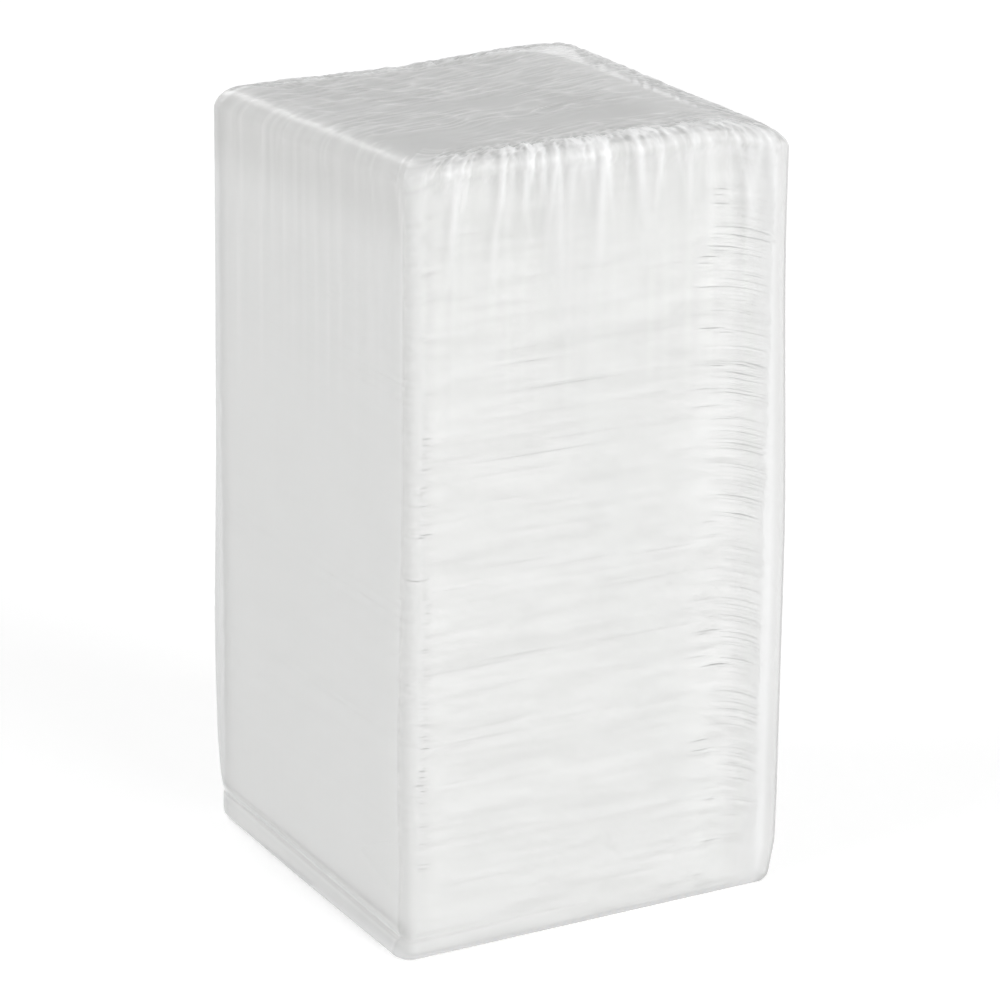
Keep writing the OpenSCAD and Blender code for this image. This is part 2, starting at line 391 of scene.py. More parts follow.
# The shares of a page's tone that follow its sheet, soft bands, flecks and wide patches, and
# the painted light that whitens it towards its free edges, against the shade between the
# drooping pages, from which place on and over which width
SHEET_TONE, BAND_TONE, FLECK_TONE, PATCH_TONE = 0.15, 0.5, 0.2, 0.15
TIP_PAINTED_LIGHT, TIP_LIGHT_FROM, TIP_LIGHT_OVER = 0.3, 88, 12
# Painted shade: grey strokes near the free edges, for the shade in the slits between drooping
# pages, each on a few pages: their place, and their share there
PAINTED_SHADE_STROKES, STROKE_PAGES = ((97, 106, 0.4), (109, 115, 0.28)), 3
STROKE_PAINTED_SHADES, STROKE_LENGTHS = (0.15, 0.65), (2, 4.5)
# Painted shade: grey dots by the fold at the front, where the napkins' corners recede, one on
# each napkin: their strength, range, middle, width and depth
DOT_PAINTED_SHADE, DOT_RANGE, DOT_X, DOT_WIDTH, DOT_DEPTH = 0.45, (0.3, 1), 3.4, 1.7, 3
# The tone along the fold itself, where it ends, and the width of the change
FOLD_TONE, FOLD_TONE_END, FOLD_TONE_OVER = 0.55, 1, 6


def page_tone_and_painted_light(pages):
    """The paper's tone from 0 to 1, in soft bands a few pages high, plus painted light and shade."""
    rng = np.random.default_rng(TONE_SEED)
    page = np.arange(pages)[:, None, None]
    x = COLUMNS[None, None, :]
    y = ROWS[None, :, None]
    sheet = shared(rng.uniform(0, 1, pages // 2), 2, pages)
    bands = grain(3, page / 2.6, x / 10 + y / 15 + 0.3 * sheet)
    patches = grain(4, page / 9 + 50, x / 30 + y / 31)
    flecks = grain(1, page / 1.4, x / 7 + 2.3 * page)
    tone = SHEET_TONE * sheet + BAND_TONE * bands + FLECK_TONE * flecks + PATCH_TONE * patches
    # Painted light: whiter towards the free edges, against the shade between drooping pages.
    tone = tone + TIP_PAINTED_LIGHT * ease((x - TIP_LIGHT_FROM) / TIP_LIGHT_OVER)
    runs = (pages + STROKE_PAGES - 1) // STROKE_PAGES
    # Painted shade: grey strokes near the free edges, where slits open between drooping pages.
    for low, high, share in PAINTED_SHADE_STROKES:
        painted_shades = rng.uniform(*STROKE_PAINTED_SHADES, runs) * (rng.random(runs) < share)
        drawn = painted_shades, rng.uniform(low, high, runs), rng.uniform(*STROKE_LENGTHS, runs)
        painted_shade, place_x, length = (shared(values, STROKE_PAGES, pages) for values in drawn)
        tone = tone - painted_shade * bell(x, place_x, length)
    # Painted shade: grey dots by the fold at the front, where the napkins' corners recede.
    painted_shade_dots = shared(rng.uniform(*DOT_RANGE, pages // 2), 2, pages)
    painted_shade_dots = painted_shade_dots * bell(x, DOT_X, DOT_WIDTH) * bell(y, 0, DOT_DEPTH)
    tone = mix(FOLD_TONE, tone, ease((x - FOLD_TONE_END) / FOLD_TONE_OVER))
    return np.clip(tone - DOT_PAINTED_SHADE * painted_shade_dots, 0, 1)


def rounded(distance, radius):
    """How far a corner of this radius is cut back, at a distance from its edge."""
    inside = np.clip(radius - distance, 0, radius)
    return radius - np.sqrt(radius ** 2 - inside ** 2)


# How far in from the front and back, from the free edges and from the fold a page is uneven
EDGE_REACH, TIP_START, TIP_REACH, FOLD_REACH = 12, 85, 35, 9
# Millimetres of unevenness. A napkin slips, neighbours drift together over some pages, a group
# of pages stands out together, and an edge waves along its length.
SLIP_X, DRIFT_X, SLIP_Y, BACK_SLIP = 0.25, 0.4, 0.05, 0.15
FRONT_WAVE, FRONT_DRIFT, FRONT_GROUP, BACK_WAVE = 0.14, 0.25, 0.1, 0.2
TIP_SLIP, TIP_DRIFT, TIP_WAVE = 0.5, 0.6, 0.4
DRIFT_PAGES, GROUP_PAGES, WAVE_CELL, TIP_WAVE_CELL = 9, 4, 22, 18
# Corner radii: at the front of the fold, its least, what it drifts by and what napkins differ
# by, at the back of the fold, and the range at the front of the free edge
FOLD_CORNER, CORNER_DRIFT, CORNER_RANGE, BACK_CORNER = 0.8, 2.0, (0, 1.0), 1.0
CORNER_PAGES, TIP_CORNERS = 7, (0.3, 1.2)


def page_plan(pages):
    """Where each page's rows and columns lie, with slips, soft corners and uneven edges."""
    rng = np.random.default_rng(PLAN_SEED)
    page = np.arange(pages)[:, None, None]
    x = COLUMNS[None, None, :]
    y = ROWS[None, :, None]
    drift = grain(6, page / DRIFT_PAGES, 0.0) - 0.5
    group = shared(rng.uniform(-1, 1, pages // GROUP_PAGES + 1), GROUP_PAGES, pages)
    near_front = ease(1 - y / EDGE_REACH)
    near_back = ease(1 - (NAPKIN_D - y) / EDGE_REACH)
    near_tip = ease((x - TIP_START) / TIP_REACH)
    near_fold = ease(1 - x / FOLD_REACH)
    napkin = np.repeat(rng.uniform(-1, 1, (pages // 2, 3)), 2, axis=0)[:, None, None, :]
    soft = FOLD_CORNER + CORNER_DRIFT * grain(7, page / CORNER_PAGES, 3.0)
    soft = soft + shared(rng.uniform(*CORNER_RANGE, pages // 2), 2, pages)
    corner = rounded(y, soft) + rounded(NAPKIN_D - y, BACK_CORNER)
    tips = each(rng, pages, -TIP_SLIP, TIP_SLIP) + TIP_DRIFT * drift
    tips = (tips - TIP_WAVE * grain(1, y / TIP_WAVE_CELL, page * 3.1)) * near_tip
    tips = tips - near_tip * rounded(y, each(rng, pages, *TIP_CORNERS))
    px = LEFT_X + x + SLIP_X * napkin[..., 0] + DRIFT_X * drift + corner * near_fold + tips
    waves = grain(2, x / WAVE_CELL + 9.1 * page, 0.5) - 0.5
    front = FRONT_WAVE * waves + FRONT_DRIFT * drift + FRONT_GROUP * group
    py = FRONT_Y + y + SLIP_Y * napkin[..., 1] + near_front * front
    py = py + near_back * (BACK_WAVE * waves + BACK_SLIP * napkin[..., 2])
    return px, py


def napkin_rings(low, high, px, py, paper_tone_and_light):
    """The outer and inner run of a napkin's section in each row, from its lower free edge
    round the fold to its upper free edge. Returned as points with their tone, painted light
    and shade after their place, row by place along the run."""
    outer, inner = [], []
    for run, bottom, top in ((outer, low[0], high[1]), (inner, high[0], low[1])):
        half = (top[:, 0] - bottom[:, 0]) / 2
        middle = (top[:, 0] + bottom[:, 0]) / 2
        lower = np.stack([px[0], py[0], bottom, paper_tone_and_light[0]], -1)[:, ::-1]
        upper = np.stack([px[1], py[1], top, paper_tone_and_light[1]], -1)
        reach = np.minimum(half, COLUMNS[0])
        bend = []
        for step in range(1, TURN_STEPS + 1):
            angle = math.radians(-90 - 180 * step / (TURN_STEPS + 1))
            share = step / (TURN_STEPS + 1)
            start_x, start_y, tone = (mix(a[0][:, 0], a[1][:, 0], share) for a in (px, py, paper_tone_and_light))
            bend_x, bend_z = start_x + reach * math.cos(angle), middle + half * math.sin(angle)
            bend.append(np.stack([bend_x, start_y, bend_z, tone], -1))
        run.append(np.concatenate([lower, np.stack(bend, 1), upper], 1))
    return outer[0], inner[0]


def napkin_quads(rows, places):
    """The faces of one napkin. The outer run's points come first, row by row, then the inner
    run's, which stop one row short of the back, where the first fold closes the slot."""
    grid = np.arange(rows * places).reshape(rows, places)
    slot = rows * places + np.arange((rows - 1) * places).reshape(rows - 1, places)

    def sheet(g, flip):
        quads = np.stack([g[:-1, :-1], g[1:, :-1], g[1:, 1:], g[:-1, 1:]], -1).reshape(-1, 4)
        return quads[:, ::-1] if flip else quads

    def band(a, b):
        return np.stack([a[:-1], a[1:], b[1:], b[:-1]], -1)

    half = places // 2
    back = grid[-1]
    end = slot[-1]
    last = places - 1
    walls = [band(grid[:-1, 0], slot[:, 0]), band(slot[:, last], grid[:-1, last])]
    corner = np.array([[grid[-2, 0], grid[-1, 0], end[last], end[0]],
                       [end[last], grid[-1, 0], grid[-1, last], grid[-2, last]]])
    closing = band(back[half::-1], back[half:half + half + 1])
    inside = band(end[half:half + half + 1], end[half::-1])
    front = band(slot[0], grid[0])
    skins = [sheet(grid, False), sheet(slot, True)]
    return np.concatenate([*skins, *walls, corner, closing, inside, front])


SHARP_DEGREES = 50


def build_stack(material):
    names = sorted(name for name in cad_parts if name.startswith("napkins_"))
    pages = 2 * NAPKINS_PER_BUNDLE * len(names)
    low, high = page_heights(pages)
    px, py = page_plan(pages)
    paper_tone_and_light = page_tone_and_painted_light(pages)
    rows = len(ROWS)
    places = 2 * len(COLUMNS) + TURN_STEPS
    quads = napkin_quads(rows, places)
    for number, name in enumerate(names):
        points, faces = [], []
        for napkin in range(number * NAPKINS_PER_BUNDLE, (number + 1) * NAPKINS_PER_BUNDLE):
            pair = slice(2 * napkin, 2 * napkin + 2)
            outer, inner = napkin_rings(low[pair], high[pair], px[pair], py[pair], paper_tone_and_light[pair])
            faces.append(quads + sum(len(p) for p in points))
            points.append(np.concatenate([outer.reshape(-1, 4), inner[:-1].reshape(-1, 4)]))
        points = np.concatenate(points)
        mesh = quad_mesh(name, points[:, :3], np.concatenate(faces))
        point_values(mesh, "tone_and_painted_light", points[:, 3])
        mesh.shade_smooth()
        mesh.set_sharp_from_angle(angle=math.radians(SHARP_DEGREES))
        piece = place("soft_" + name, mesh, material, name)


# The film
# Its outline is followed by the share of each side's turn and run.

# The signs of the corner where each side's turn lies, and the steps of each turn and run
SIDE_SIGNS = ((1, 1), (-1, 1), (-1, -1), (1, -1))
BACK, LEFT, FRONT, RIGHT = range(4)
FINE_CORNER, FINE_SIDES = 12, (100, 90, 240, 100)
COARSE_CORNER, COARSE_SIDES = 4, (24, 24, 24, 24)


def outline_places(corner_steps, side_steps):
    """For each point of the outline: the side, its facing angle, the share along the run."""
    side, angle, along = [], [], []
    for k in range(4):
        for i in range(corner_steps):
            side.append(k)
            angle.append(90 * (k + i / corner_steps))
            along.append(0.0)
        for i in range(side_steps[k]):
            side.append(k)
            angle.append(90 * (k + 1))
            along.append(i / side_steps[k])
    return np.array(side), np.radians(angle), np.array(along)


def top_z(x, y):
    left_end = np.maximum(0, (PRESS_WIDTH - FILM_HX - x) / PRESS_WIDTH) ** 2
    right_end = np.maximum(0, (x - FILM_HX + SLOPE_WIDTH) / SLOPE_WIDTH) ** 2
    shoulder = mix(SHOULDER_FRONT, SHOULDER_BACK, backness(y)) * left_end
    slope = mix(SLOPE_FRONT, SLOPE_BACK, backness(y)) * right_end
    return FILM_H - shoulder - slope - back_drop(x, y)


def crease_z(y):
    return mix(CREASE_FRONT, CREASE_BACK, backness(y))


def stray(x, y, z):
    """How far a point of the film strays sideways. On the right it stands out low down. On the
    left the top end is drawn in, the side bulges low down, the lip stands out at the near
    corner and is tucked in at the far one."""
    right, left = np.maximum(0, x / FILM_HX), np.maximum(0, -x / FILM_HX)
    slack = RIGHT_SLACK * ease((z + TUCK) / TUCK_RISE)
    slack = slack * ease((FILM_H - TAPER_TOP - z) / TAPER_HEIGHT)
    drawn = SHOULDER_IN * backness(y) * ease(1 - (FILM_H - z) / TAPER_HEIGHT)
    flare = CORNER_FLARE * np.maximum(0, -y / FILM_HY) * ease(1 - z / FLARE_HEIGHT)
    bulge = LEFT_BULGE * bell(z, BULGE_Z, BULGE_REACH)
    tucked = LOW_CORNER_IN * np.maximum(0, y / FILM_HY) * ease(1 - z / FLARE_HEIGHT)
    return right * slack + left * (drawn - flare - bulge + tucked)


def spline(stations, steps):
    """Points on a smooth curve through the stations, with the last station left out."""
    p = np.asarray(stations, float)
    padded = np.concatenate([2 * p[:1] - p[1:2], p, 2 * p[-1:] - p[-2:-1]])
    points = []
    for k in range(len(p) - 1):
        a, b, c, d = padded[k:k + 4]
        for t in np.arange(steps) / steps:
            points.append(0.5 * (2 * b + (c - a) * t + (2 * a - 5 * b + 4 * c - d) * t ** 2
                                 + (3 * b - a - 3 * c + d) * t ** 3))
    return points


GATHER_REACH = 62.0
# Rows of the fine outer skin and the coarse inner one: on the base, between the foot's
# stations, up the sides, through the gathers, round the rim and over the top
FINE_ROWS, COARSE_ROWS = (5, 4, 14, 40, 11, 70), (3, 1, 5, 6, 4, 8)
# The insets of the base's first and last row, and of the top's last row from the middle
BASE_ROWS, TOP_END = (56, 4), 1.0
# How high above the groove the sides start, their share of the hollow there, and the angle
# that the hollow's swell goes through up to the gathers, whose rows crowd together upwards
SIDE_START, HOLLOW_START, HOLLOW_ANGLE, CROWDING = 6, 0.4, 140, 0.8


def film_rows(depth, fine):
    """The rows of the skin from the base up to the middle of the top, at a depth below its
    outer face. Columns: height, share of the crease's height, share of the top's height,
    inset, share of the hollow, distance below the top edge (on the top, minus the inset),
    and how far the row stands out on the left."""
    under, foot_steps, up, through, around, over = FINE_ROWS if fine else COARSE_ROWS
    base = [[depth, 0, 0, inset, 0, FILM_H, 0] for inset in np.linspace(*BASE_ROWS, under)]
    foot = spline([[depth, 0, 0, BASE_INSET + depth, 0, FILM_H, 0],
                   [LIP_Z + depth, 0.25, 0, depth, 0, FILM_H, LIP_OUT],
                   [-1.2, 1, 0, depth, 0, FILM_H, 0.1 * CREASE_DEPTH],
                   [0, 1, 0, depth, 0, FILM_H, -CREASE_DEPTH],
                   [2.2, 1, 0, depth, 0.1, FILM_H, -0.3 * CREASE_DEPTH],
                   [SIDE_START, 1, 0, depth, HOLLOW_START, FILM_H, 0]], foot_steps)
    sides = []
    for t in np.linspace(0, 1, up):
        hollow = HOLLOW_START + (1 - HOLLOW_START) * math.sin(math.radians(HOLLOW_ANGLE * t))
        sides.append([mix(SIDE_START, -GATHER_REACH, t), 1 - t, t, depth, hollow,
                      mix(FILM_H, GATHER_REACH, t), 0])
    last_hollow = hollow
    gathers = []
    for t in np.linspace(0, 1, through)[1:]:
        below = mix(GATHER_REACH, TOP_TURN, t ** CROWDING)
        gathers.append([-below, 0, 1, depth, last_hollow * (1 - t), below, 0])
    turn = []
    for angle in np.radians(np.linspace(0, 90, around)[1:]):
        r = TOP_TURN - depth
        turn.append([-TOP_TURN + r * math.sin(angle), 0, 1, TOP_TURN - r * math.cos(angle), 0,
                     TOP_TURN * math.cos(angle), 0])
    top = []
    for t in np.linspace(0, 1, over)[1:]:
        inset = mix(TOP_TURN, FILM_HX - TOP_END, t)
        top.append([-depth, 0, 1, inset, 0, TOP_TURN - inset, 0])
    return np.array(base + foot + sides + gathers + turn + top)


# For each side: short wrinkles over the rim, long gathers below it, and their strength
GATHERS = {FRONT: (110, 60, 1.0), RIGHT: (60, 30, 0.7), BACK: (60, 30, 0.6), LEFT: (20, 14, 0.3)}
# For long and for short ones: how unevenly they lean, and the ranges of their width and of
# how far they run in over the top
LONG, SHORT = (0.08, (0.5, 1.3), (1, 3)), (0.5, (0.45, 0.8), (3, 9))
# How far down they run: a long one's range with the mean of what is added, and a short one's
LONG_DOWN, LONG_MORE, SHORT_DOWN = (10, 20), 14, (1, 6)
# This share of the front's long ones lies within this range from its left end
CROWD_SHARE, CROWD = 0.65, (6, 76)
# They fan out from a place along each side, weave as they run down, and widen downwards
FAN, FAN_MIDDLE, WEAVE, WEAVE_CELLS, WIDEN = 0.24, 0.42, 0.4, (5, 12), 0.03
# The range of their height, what it is multiplied by for one this wide or wider, and the
# power with which they fade downwards
HEIGHTS, WIDE, WIDE_HEIGHT, FADE_POWER = (0.25, 1.0), 1, 0.75, 1.5


def pleats(side, along, below):
    """The gathers that run down from the top edge and in over the top, as a height from 0
    to about 1, for each place on the outline and each distance below the edge."""
    rng = np.random.default_rng(PLEAT_SEED)
    run = 2 * (FILM_HX - FILM_CORNER)
    s = along * run
    total = np.zeros((len(below), len(side)))
    d = below[:, None]
    for k, (short, long, strength) in GATHERS.items():
        here = (side == k) & (along > 0)
        for number in range(short + long):
            is_long = number >= short
            unevenness, widths, inwards = LONG if is_long else SHORT
            centre = rng.uniform(1, run - 1)
            if k == FRONT and is_long and rng.random() < CROWD_SHARE:
                centre = rng.uniform(*CROWD)
            lean = rng.normal(0, unevenness) + FAN * (centre / run - FAN_MIDDLE)
            width = rng.uniform(*widths)
            if is_long:
                reach = min(GATHER_REACH, rng.uniform(*LONG_DOWN) + rng.exponential(LONG_MORE))
            else:
                reach = rng.uniform(*SHORT_DOWN)
            inward = rng.uniform(*inwards)
            height = strength * rng.uniform(*HEIGHTS) * (WIDE_HEIGHT if width > WIDE else 1)
            weave = WEAVE * np.sin(d / rng.uniform(*WEAVE_CELLS) + rng.uniform(0, 6))
            middle = centre + lean * d + weave
            wide = width * (1 + WIDEN * np.maximum(d, 0))
            down = np.clip(1 - d / reach, 0, 1) ** FADE_POWER
            fade = np.where(d > 0, down, ease(1 + d / inward))
            total[:, here] += height * fade * bell(s[None, here], middle, wide)
    return total


# The least radius of a ring's corners, and their share of what is left to the middle
LEAST_RADIUS, RADIUS_SHARE = 0.5, 0.9
# How far in from the edge the top's own look begins, and over which width
TOP_FROM, TOP_OVER = 2, 3
# The rim's place below the top edge with its reach, and the mean of its crumples
RIM_BELOW, RIM_REACH, CRUMPLE_MEAN = -1.5, 6, 0.4
# How far gathers push the film out below the rim and above it, and the rim's crumples do, the
# share of that which lifts the top, and how far wrinkles lift it
PUSH_BELOW, PUSH_ABOVE, CRUMPLE_PUSH, TOP_SHARE, WRINKLE_LIFT = 0.25, 0.35, 1.2, 0.7, 0.5
# The haze that each adds, and how much less of it a gather has on the rim
GATHER_HAZE, RIM_LESS, RIM_HAZE, CRUMPLE_HAZE, WRINKLE_HAZE = 0.4, 0.1, 0.08, 0.6, 0.2
# The groove's painted shade, above the lip on the left: its haze, its height above the crease,
# its reach up and down, and how closely it keeps to the left
GROOVE_SHADE_HAZE, GROOVE_Z, GROOVE_REACH, GROOVE_POWER = 0.4, 0.9, 1.5, 6


def film_skin(depth, fine):
    """Points of one skin, row by place, how hazy the film is there with its painted highlight, and
    its painted shade in grey.
    """
    steps = (FINE_CORNER, FINE_SIDES) if fine else (COARSE_CORNER, COARSE_SIDES)
    side, angle, along = outline_places(*steps)
    rows = film_rows(depth, fine)
    columns = (rows[:, i:i + 1] for i in range(rows.shape[1]))
    height, crease_share, top_share, inset, hollow, below, lip = columns
    radius = np.maximum(LEAST_RADIUS, RADIUS_SHARE * (FILM_HX - inset))
    radius = np.minimum(FILM_CORNER, radius)
    out = np.stack([np.cos(angle), np.sin(angle)], -1)
    signs = np.array(SIDE_SIGNS)
    start, end = signs[side], signs[(side + 1) % len(SIDE_SIGNS)]
    xy = []
    for axis, half in ((0, FILM_HX), (1, FILM_HY)):
        centre = (half - inset - radius) * mix(start[:, axis], end[:, axis], along)[None]
        xy.append(centre + radius * out[:, axis][None])
    x, y = xy
    z = height + crease_share * crease_z(y) + top_share * top_z(x, y)
    fading = 1 - CREASE_FADE * np.maximum(0, y / FILM_HY) ** 2
    sink = lip * fading * np.maximum(0, -x / FILM_HX)
    sink = sink - FACE_HOLLOW * hollow * np.sin(np.pi * along)[None] ** 2
    square = x, y
    x = x + stray(x, y, z)
    haze_and_painted_light, painted_shade, rise = (np.zeros(x.shape) for _ in range(3))
    if fine:
        on_top = np.where(top_share > 0, ease((inset - TOP_FROM) / TOP_OVER), 0) + 0 * x
        gather = pleats(side, along, below[:, 0])
        s = along[None] * 2 * (FILM_HX - FILM_CORNER)
        rim = bell(below, RIM_BELOW, RIM_REACH) * (top_share > 0) * np.where(side == LEFT, 0, 1)
        crumple = rim * (rim_crumple(s + 40 * side[None], below) - CRUMPLE_MEAN)
        wrinkle = on_top * top_wrinkles(x, y)
        push = np.where(below > 0, PUSH_BELOW, PUSH_ABOVE) * gather + CRUMPLE_PUSH * crumple
        sink = sink + push * (1 - on_top)
        rise = push * on_top * TOP_SHARE + WRINKLE_LIFT * wrinkle
        haze_and_painted_light = film_haze_and_highlight(side[None], s, square, below, on_top)
        haze_and_painted_light = haze_and_painted_light + (GATHER_HAZE - RIM_LESS * rim) * gather
        haze_and_painted_light = haze_and_painted_light + RIM_HAZE * rim + CRUMPLE_HAZE * crumple + WRINKLE_HAZE * wrinkle
        # Painted shade: the groove above the lip on the left gets more haze, and grey.
        painted_groove_shade = (crease_share == 1) * bell(height, GROOVE_Z, GROOVE_REACH)
        painted_groove_shade = painted_groove_shade * np.maximum(0, -x / FILM_HX) ** GROOVE_POWER * (side == LEFT)
        haze_and_painted_light = haze_and_painted_light + GROOVE_SHADE_HAZE * painted_groove_shade
        # Painted shade in grey, off the top: at the front's right end, on the left shoulder and in
        # the groove.
        painted_shade = film_painted_shade(side[None], square, below) * (1 - on_top) + painted_groove_shade
    x = x + sink * out[:, 0][None]
    y = y + sink * out[:, 1][None]
    return np.stack([x, y, z + rise], -1), haze_and_painted_light, painted_shade


def rim_crumple(s, below):
    """Small sharp wrinkles in every direction, where the film is gathered over the rim: two
    slanting nets of noise with cells of 2 to 3 mm, the first one a little stronger."""
    slant = s / 2.3 + below / 3.1
    other = s / 1.7 - below / 2.2
    first = ridged(0, slant, below / 2.9)
    return 0.6 * first ** 2 + 0.4 * ridged(2, other, below / 2.0 + 30) ** 2


# The top's wrinkles: their direction in degrees, their length, how far they bend and over
# which cells, and the noise table and spacing of each set
WRINKLE_TURN, WRINKLE_LENGTH, WRINKLE_BEND, BEND_CELL = 14, 11, 4, 14
WRINKLE_SETS = ((4, 1.9), (1, 3.3))
# Where they lie: the contrast and level of their patches, and what is added towards the back
PATCH_CONTRAST, PATCH_LEVEL, WRINKLE_BACK = 1.7, 0.15, 0.35


def top_wrinkles(x, y):
    """Fine wrinkles across the top, running to the right and a little back, denser behind."""
    turn = math.radians(WRINKLE_TURN)
    along = (x * math.cos(turn) + y * math.sin(turn)) / WRINKLE_LENGTH
    across = y * math.cos(turn) - x * math.sin(turn)
    across = across + WRINKLE_BEND * grain(3, x / BEND_CELL, y / BEND_CELL)
    patches = grain(5, x / 24 + 3, y / 16 + 8) * PATCH_CONTRAST - PATCH_LEVEL
    total = np.zeros(x.shape)
    for table, width in WRINKLE_SETS:
        total = total + 0.5 * ridged(table, along + 7.7 * table, across / width) ** 3
    return total * ease(patches + WRINKLE_BACK * y / FILM_HY)


# The film's haze on the left side, on the other sides and on the top
LEFT_HAZE, SIDE_HAZE, TOP_HAZE = 0.38, 0.27, 0.26
# What clouds, upright streaks and the front's band of painted highlight add to it
CLOUD_HAZE, STREAK_HAZE, PAINTED_HIGHLIGHT_HAZE = 0.04, 0.08, 0.1
# The streaks' middle below the edge and their reach
STREAK_BELOW, STREAK_REACH = 15, 45
# The place of the band of painted highlight along the front at a distance below the edge,
# its width, lean and curve
BAND_S, BAND_BELOW, BAND_WIDTH, BAND_LEAN, BAND_CURVE = 51, 25, 10, 0.05, 0.0009
# The far left edge's haze and its reach, and the haze of the front's right end, with how far
# before the edge it begins and over which width it sets in
EDGE_HAZE, EDGE_REACH_LEFT = 0.4, 5
END_HAZE, END_WIDTH, END_OVER = 0.22, 19, 12


def film_haze_and_highlight(side, s, square, below, on_top):
    """How milky the film is away from its gathers: with faint upright streaks and a soft painted
    highlight in a band down the front, and thick at the upright edges on the far left and right."""
    streaks = grain(6, s / 2.5 + 70 * side, below / 60) ** 2
    streaks = streaks * bell(below, STREAK_BELOW, STREAK_REACH)
    clouds = grain(7, s / 30 + 9 * side, below / 45)
    # A painted highlight: the soft bright band down the front is drawn as more haze.
    fall = below - BAND_BELOW
    place_s = BAND_S + BAND_LEAN * fall + BAND_CURVE * fall ** 2
    band = np.where(side == FRONT, bell(s, place_s, BAND_WIDTH), 0)
    x, y = square
    edges = EDGE_HAZE * bell(np.hypot(x + FILM_HX, y - FILM_HY), 0, EDGE_REACH_LEFT)
    end = END_HAZE * ease((x - FILM_HX + END_WIDTH) / END_OVER)
    edges = edges + np.where(y < FILM_CORNER - FILM_HY, end, 0)
    base = np.where(side == LEFT, LEFT_HAZE, SIDE_HAZE)
    down = base + CLOUD_HAZE * clouds + STREAK_HAZE * streaks + PAINTED_HIGHLIGHT_HAZE * band + edges
    return mix(down, TOP_HAZE, on_top)


# The painted shade at the front's right end, where the film stands off the stack: how strong,
# how far before the edge it begins, and over which width it sets in. Then the share by which it
# fades again, with the same two lengths.
END_PAINTED_SHADE, GREY_WIDTH, GREY_OVER = 0.85, 7, 2.4
GREY_FADE, FADE_WIDTH, FADE_OVER = 0.7, 2.5, 2
# The painted shade on the left shoulder: how strong, how far down it ends, and over which distance
SHOULDER_PAINTED_SHADE, SHOULDER_END, SHOULDER_OVER = 0.75, 28, 18


def film_painted_shade(side, square, below):
    """The painted shade in the film's haze, in grey: at the front's right edge, where the film
    stands off the stack, and on the left shoulder."""
    x, y = square
    # Painted shade at the front's right edge, where the film stands off the stack.
    edge = END_PAINTED_SHADE * ease((x - FILM_HX + GREY_WIDTH) / GREY_OVER)
    edge = edge * (1 - GREY_FADE * ease((x - FILM_HX + FADE_WIDTH) / FADE_OVER))
    edge = np.where(y < FILM_CORNER - FILM_HY, edge, 0)
    # Painted shade on the left shoulder.
    shade = SHOULDER_PAINTED_SHADE * ease((SHOULDER_END - below) / SHOULDER_OVER)
    return edge + np.where(side == LEFT, shade, 0)


def skin_quads(rows, places, flip):
    """The faces of a closed skin whose rows are rings, shut by a fan at each end. The two
    middles of the fans come after the rings' points."""
    grid = np.arange(rows * places).reshape(rows, places)
    after = np.roll(grid, -1, 1)
    side = np.stack([grid[:-1], after[:-1], after[1:], grid[1:]], -1).reshape(-1, 4)
    foot, crown = rows * places, rows * places + 1
    foot_fan = np.stack([np.full(places, foot), after[0], grid[0], grid[0]], -1)
    crown_fan = np.stack([np.full(places, crown), grid[-1], after[-1], after[-1]], -1)
    quads = np.concatenate([side, foot_fan, crown_fan])
    if flip:
        is_triangle = quads[:, 2] == quads[:, 3]
        quads = np.where(is_triangle[:, None], quads[:, [0, 2, 1, 1]], quads[:, ::-1])
    return quads


INSIDE_HAZE = 0.06


def film_inside_material():
    """The inner face of the film, which has its own thin haze and no gloss."""
    material, nodes, links = new_material("film_inside")
    output = nodes.new("ShaderNodeOutputMaterial")
    milk = nodes.new("ShaderNodeBsdfDiffuse")
    milk.inputs["Color"].default_value = FILM_WHITE
    blend = nodes.new("ShaderNodeMixShader")
    blend.inputs["Fac"].default_value = INSIDE_HAZE
    links.new(nodes.new("ShaderNodeBsdfTransparent").outputs[0], blend.inputs[1])
    links.new(milk.outputs[0], blend.inputs[2])
    links.new(blend.outputs[0], output.inputs["Surface"])
    return material


def build_film(material):
    points, faces, hazes_and_painted_light, painted_shades, insides = [], [], [], [], []
    for depth, fine in ((0.0, True), (FILM_T, False)):
        grid, haze_and_painted_light, painted_shade = film_skin(depth, fine)
        rows, places = haze_and_painted_light.shape
        middles = [grid[0].mean(0), grid[-1].mean(0)]
        quads = skin_quads(rows, places, not fine)
        faces.append(quads + sum(len(p) for p in points))
        insides.append(np.full(len(quads), 0 if fine else 1))
        points.append(np.concatenate([grid.reshape(-1, 3), middles]))
        hazes_and_painted_light.append(np.concatenate([haze_and_painted_light.ravel(), [haze_and_painted_light[0].mean(), haze_and_painted_light[-1].mean()]]))
        painted_shades.append(np.concatenate([painted_shade.ravel(), [0, 0]]))
    mesh = quad_mesh("film", np.concatenate(points), np.concatenate(faces))
    point_values(mesh, "haze_and_painted_light", np.concatenate(hazes_and_painted_light))
    point_values(mesh, "painted_shade", np.concatenate(painted_shades))
    mesh.polygons.foreach_set("material_index", np.concatenate(insides).astype(np.int32))
    mesh.shade_smooth()
    piece = place("shrink_film", mesh, material, "film_wrap")
    mesh.materials.append(film_inside_material())


# The studio

def lamp(name, direction, spread, power):
    """A broad far lamp that shines from a direction, spread over an angle in degrees."""
    data = bpy.data.lights.new(name, "SUN")
    data.energy = power
    data.angle = math.radians(spread)
    light = bpy.data.objects.new(name, data)
    bpy.context.scene.collection.objects.link(light)
    light.rotation_euler = Vector(direction).to_track_quat("Z", "Y").to_euler()


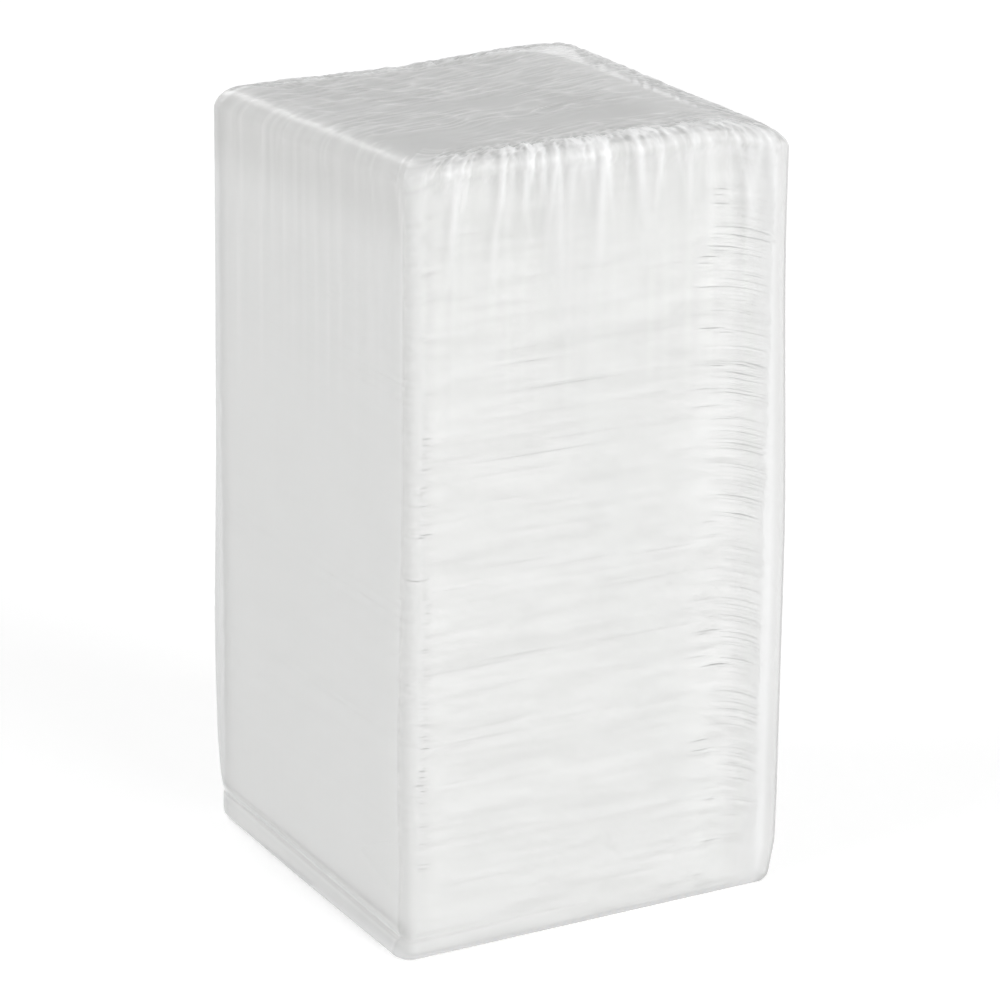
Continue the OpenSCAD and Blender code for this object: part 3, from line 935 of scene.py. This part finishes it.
def seen_directly(nodes, links):
    """1 for a ray that shows the background, and 0 for one that lights the object."""
    path = nodes.new("ShaderNodeLightPath").outputs
    either = math_node(nodes, links, "MAXIMUM", path["Is Camera Ray"], path["Is Glossy Ray"])
    return math_node(nodes, links, "MAXIMUM", either, path["Is Transmission Ray"])


WORLD_LEVEL = 0.47
FLOOR_GLOW, FLOOR_COLOUR, FLOOR_HALF = 0.41, (0.85, 0.85, 0.85, 1), 6000.0
# Each lamp's name, the direction it shines from, its spread in degrees and its power
LAMPS = (("key", (0.35, -1, 0.28), 40, 1.75), ("side", (-1, 0.15, 0.25), 50, 1.42),
         ("behind", (0.1, 1, 0.45), 20, 0.38), ("right", (1, 0.35, 0.03), 50, 0.5))


def build_studio():
    world = bpy.data.worlds.new("studio")
    bpy.context.scene.world = world
    world.use_nodes = True
    nodes, links = world.node_tree.nodes, world.node_tree.links
    nodes.clear()
    shown = seen_directly(nodes, links)
    more = math_node(nodes, links, "MULTIPLY", shown, 1 - WORLD_LEVEL)
    level = math_node(nodes, links, "ADD", more, WORLD_LEVEL)
    background = nodes.new("ShaderNodeBackground")
    background.inputs["Color"].default_value = (1, 1, 1, 1)
    links.new(level, background.inputs["Strength"])
    output = nodes.new("ShaderNodeOutputWorld")
    links.new(background.outputs[0], output.inputs["Surface"])

    material, nodes, links = new_material("floor")
    output = nodes.new("ShaderNodeOutputMaterial")
    matt = nodes.new("ShaderNodeBsdfDiffuse")
    matt.inputs["Color"].default_value = FLOOR_COLOUR
    glow = nodes.new("ShaderNodeEmission")
    strength = math_node(nodes, links, "MULTIPLY", seen_directly(nodes, links), FLOOR_GLOW)
    links.new(strength, glow.inputs["Strength"])
    both = nodes.new("ShaderNodeAddShader")
    links.new(matt.outputs[0], both.inputs[0])
    links.new(glow.outputs[0], both.inputs[1])
    links.new(both.outputs[0], output.inputs["Surface"])
    corners = FLOOR_HALF * np.array([[-1, -1, 0], [1, -1, 0], [1, 1, 0], [-1, 1, 0]])
    floor = bpy.data.objects.new("floor", quad_mesh("floor", corners, np.array([[0, 1, 2, 3]])))
    floor.data.materials.append(material)
    bpy.context.scene.collection.objects.link(floor)

    for name, direction, spread, power in LAMPS:
        lamp(name, direction, spread, power)


def build_camera():
    az, el, roll = (math.radians(v) for v in (AZIMUTH, ELEVATION, ROLL))
    back = Vector((math.sin(az) * math.cos(el), -math.cos(az) * math.cos(el), math.sin(el)))
    right = Vector((math.cos(az), math.sin(az), 0))
    up = back.cross(right)
    aim = Vector((0, 0, AIM_Z)) + right * AIM_RIGHT + up * AIM_UP
    data = bpy.data.cameras.new("camera")
    data.sensor_width = SENSOR
    data.lens = FOCAL_PX / FRAME_PX * SENSOR
    camera = bpy.data.objects.new("camera", data)
    bpy.context.scene.collection.objects.link(camera)
    turned_right = math.cos(roll) * right + math.sin(roll) * up
    turned_up = -math.sin(roll) * right + math.cos(roll) * up
    turn = Matrix((turned_right, turned_up, back)).transposed().to_4x4()
    camera.matrix_world = Matrix.Translation((aim + back * DISTANCE) * MM) @ turn
    bpy.context.scene.camera = camera


build_stack(paper_material())
build_film(film_material())
build_studio()
build_camera()
bpy.context.scene.view_settings.view_transform = "Standard"
